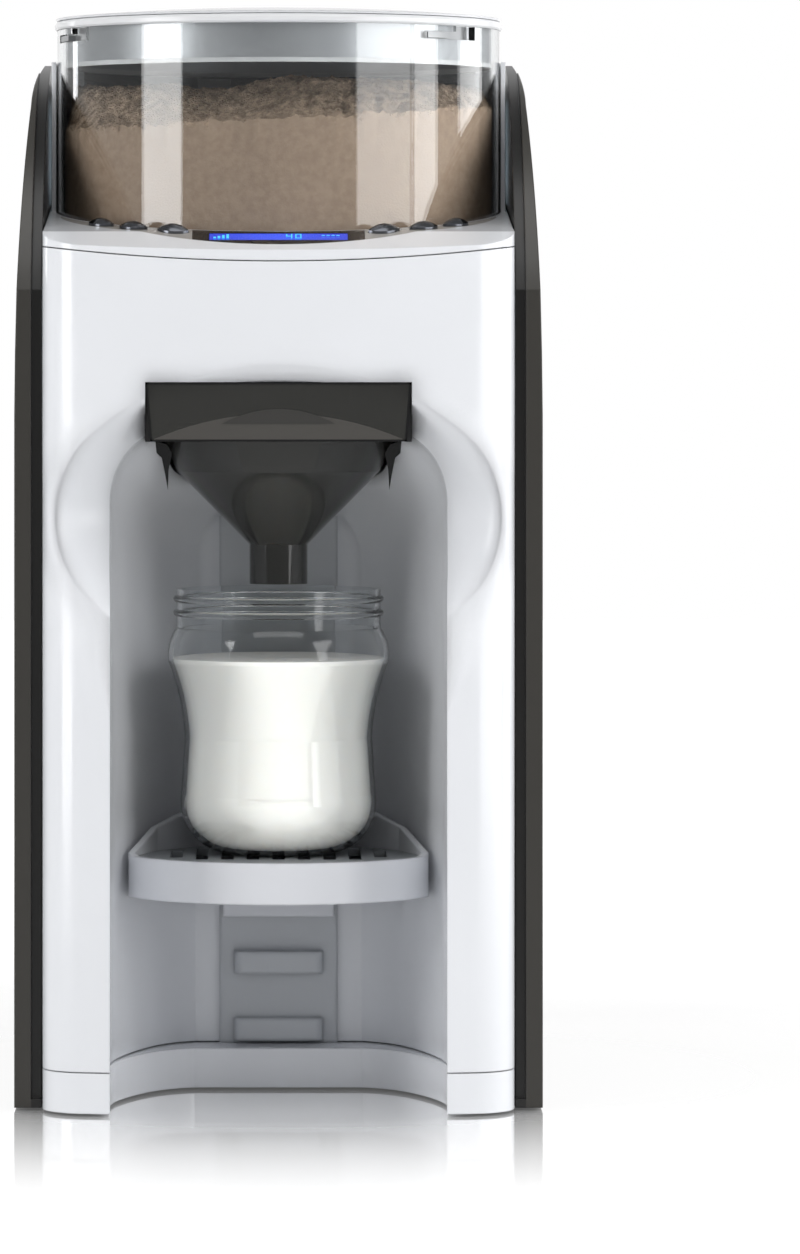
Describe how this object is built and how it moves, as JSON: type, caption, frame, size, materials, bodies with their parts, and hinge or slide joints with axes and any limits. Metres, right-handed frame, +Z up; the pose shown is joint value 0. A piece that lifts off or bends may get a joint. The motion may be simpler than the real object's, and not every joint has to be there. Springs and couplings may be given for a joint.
{
  "type": "baby formula maker",
  "caption": "Countertop formula maker: lift-out powder hopper on top, bottle bay with slide-out mixing funnel and plug-in stand, lift-off rear water tank.",
  "frame": {"origin": "on the table, under the middle of the whole machine's bounding box", "axes": "+Z up; the front with the bottle bay and the display faces -Y; +X is to the right seen from the front"},
  "size_m": [0.1842, 0.29, 0.3871],
  "materials": {
    "white_shell": "glossy moulded ABS, off-white",
    "stand_plastic": "satin light grey-white ABS",
    "lid_plastic": "glossy moulded ABS, pale grey-white",
    "side_panel": "dark charcoal gloss ABS",
    "panel_trim": "glossy grey-brown trim",
    "screen": "blue backlit display window",
    "button_silver": "silver-coated button",
    "clear_plastic": "clear moulded copolyester",
    "smoke_plastic": "smoky translucent polypropylene",
    "tank_plastic": "clear blue-grey moulded plastic",
    "bottle_plastic": "clear bottle plastic",
    "powder": "cream powder",
    "milk": "mixed milk",
    "grate_plastic": "dark grey moulded grille",
    "rail_plastic": "mid grey satin plastic",
    "inner_plastic": "unpainted moulded plastic",
    "dark_plastic": "black moulded plastic",
    "white_inner": "food-safe white plastic",
    "motor_metal": "plain die-cast and drawn metal",
    "steel": "plain steel",
    "brass": "turned brass",
    "silicone": "milky silicone hose",
    "rubber": "black rubber",
    "board": "green circuit board"
  },
  "bodies": {
    "housing": {"base_plinth": "white_shell", "front_shell": "white_shell", "rear_shell": "white_shell", "side_panel_left": "side_panel", "side_panel_right": "side_panel", "upper_housing": "white_shell", "hopper_back_wall": "dark_plastic", "control_panel": "panel_trim", "display_screen": "screen", "control_board": "board", "stand_rail": "rail_plastic", "funnel_carrier": "dark_plastic", "main_chassis": "inner_plastic", "stirrer_gearmotor": "motor_metal", "motor_bracket": "steel", "water_pump": "inner_plastic", "water_heater": "motor_metal", "pump_hose": "silicone", "supply_hose": "silicone", "hot_hose": "silicone", "water_nozzle": "inner_plastic", "powder_chute": "inner_plastic", "power_board": "board", "power_inlet": "dark_plastic", "tank_valve_socket": "inner_plastic", "case_screws": "steel", "rubber_feet": "rubber"},
    "drive": {"drive_dog": "brass"},
    "hopper": {"powder_container": "clear_plastic", "dosing_base": "white_inner", "formula_powder": "powder", "powder_leveller": "dark_plastic"},
    "stirrer": {"portion_wheel": "white_inner", "stirrer_wheel": "white_inner"},
    "collar": {"lid_collar": "lid_plastic", "lid_seal": "silicone"},
    "cap": {"lid_cap": "lid_plastic"},
    "tank": {"water_tank": "tank_plastic", "tank_valve": "inner_plastic", "tank_lid_pins": "steel"},
    "tank_cover": {"tank_lid": "white_shell"},
    "funnel": {"funnel": "smoke_plastic"},
    "stand": {"bottle_stand": "stand_plastic", "drip_grate": "grate_plastic"},
    "bottle": {"bottle": "bottle_plastic", "milk": "milk"},
    "key_powder": {"button_powder": "button_silver"},
    "key_volume": {"button_volume": "button_silver"},
    "key_temperature": {"button_temperature": "button_silver"},
    "key_info": {"button_info": "button_silver"},
    "key_clean": {"button_clean": "button_silver"},
    "key_start": {"button_start": "button_silver"}
  },
  "joints": [
    {"name": "hopper_lift", "type": "slide", "parent": "housing", "child": "hopper", "axis": [0, 0, 1], "range_m": [0, 0.12]},
    {"name": "stir_spin", "type": "hinge", "parent": "hopper", "child": "stirrer", "pos_m": [0, -0.0415, 0.31], "axis": [0, 0, 1], "continuous": true},
    {"name": "drive_spin", "type": "hinge", "parent": "housing", "child": "drive", "pos_m": [0, -0.0415, 0.3], "axis": [0, 0, 1], "continuous": true},
    {"name": "lid_turn", "type": "hinge", "parent": "hopper", "child": "collar", "pos_m": [0, -0.0415, 0.377], "axis": [0, 0, 1], "range_deg": [0, 11]},
    {"name": "cap_lift", "type": "slide", "parent": "collar", "child": "cap", "axis": [0, 0, 1], "range_m": [0, 0.08]},
    {"name": "tank_lift", "type": "slide", "parent": "housing", "child": "tank", "axis": [0, 0, 1], "range_m": [0, 0.15]},
    {"name": "tank_lid_open", "type": "hinge", "parent": "tank", "child": "tank_cover", "pos_m": [0, 0.1405, 0.3616], "axis": [-1, 0, 0], "range_deg": [0, 100]},
    {"name": "funnel_slide", "type": "slide", "parent": "housing", "child": "funnel", "axis": [0, -1, 0], "range_m": [0, 0.13]},
    {"name": "stand_slide", "type": "slide", "parent": "housing", "child": "stand", "axis": [0, -1, 0], "range_m": [0, 0.11]},
    {"name": "bottle_slide", "type": "slide", "parent": "stand", "child": "bottle", "axis": [0, -1, 0], "range_m": [0, 0.14]},
    {"name": "press_powder", "type": "slide", "parent": "housing", "child": "key_powder", "axis": [0, 0.108, -0.9942], "range_m": [0, 0.0008], "stiffness_N_per_m": 300},
    {"name": "press_volume", "type": "slide", "parent": "housing", "child": "key_volume", "axis": [0, 0.108, -0.9942], "range_m": [0, 0.0008], "stiffness_N_per_m": 300},
    {"name": "press_temperature", "type": "slide", "parent": "housing", "child": "key_temperature", "axis": [0, 0.108, -0.9942], "range_m": [0, 0.0008], "stiffness_N_per_m": 300},
    {"name": "press_info", "type": "slide", "parent": "housing", "child": "key_info", "axis": [0, 0.108, -0.9942], "range_m": [0, 0.0008], "stiffness_N_per_m": 300},
    {"name": "press_clean", "type": "slide", "parent": "housing", "child": "key_clean", "axis": [0, 0.108, -0.9942], "range_m": [0, 0.0008], "stiffness_N_per_m": 300},
    {"name": "press_start", "type": "slide", "parent": "housing", "child": "key_start", "axis": [0, 0.108, -0.9942], "range_m": [0, 0.0008], "stiffness_N_per_m": 300}
  ],
  "couplings": [
    {"joint": "drive_spin", "follows": "stir_spin", "ratio": 1}
  ]
}
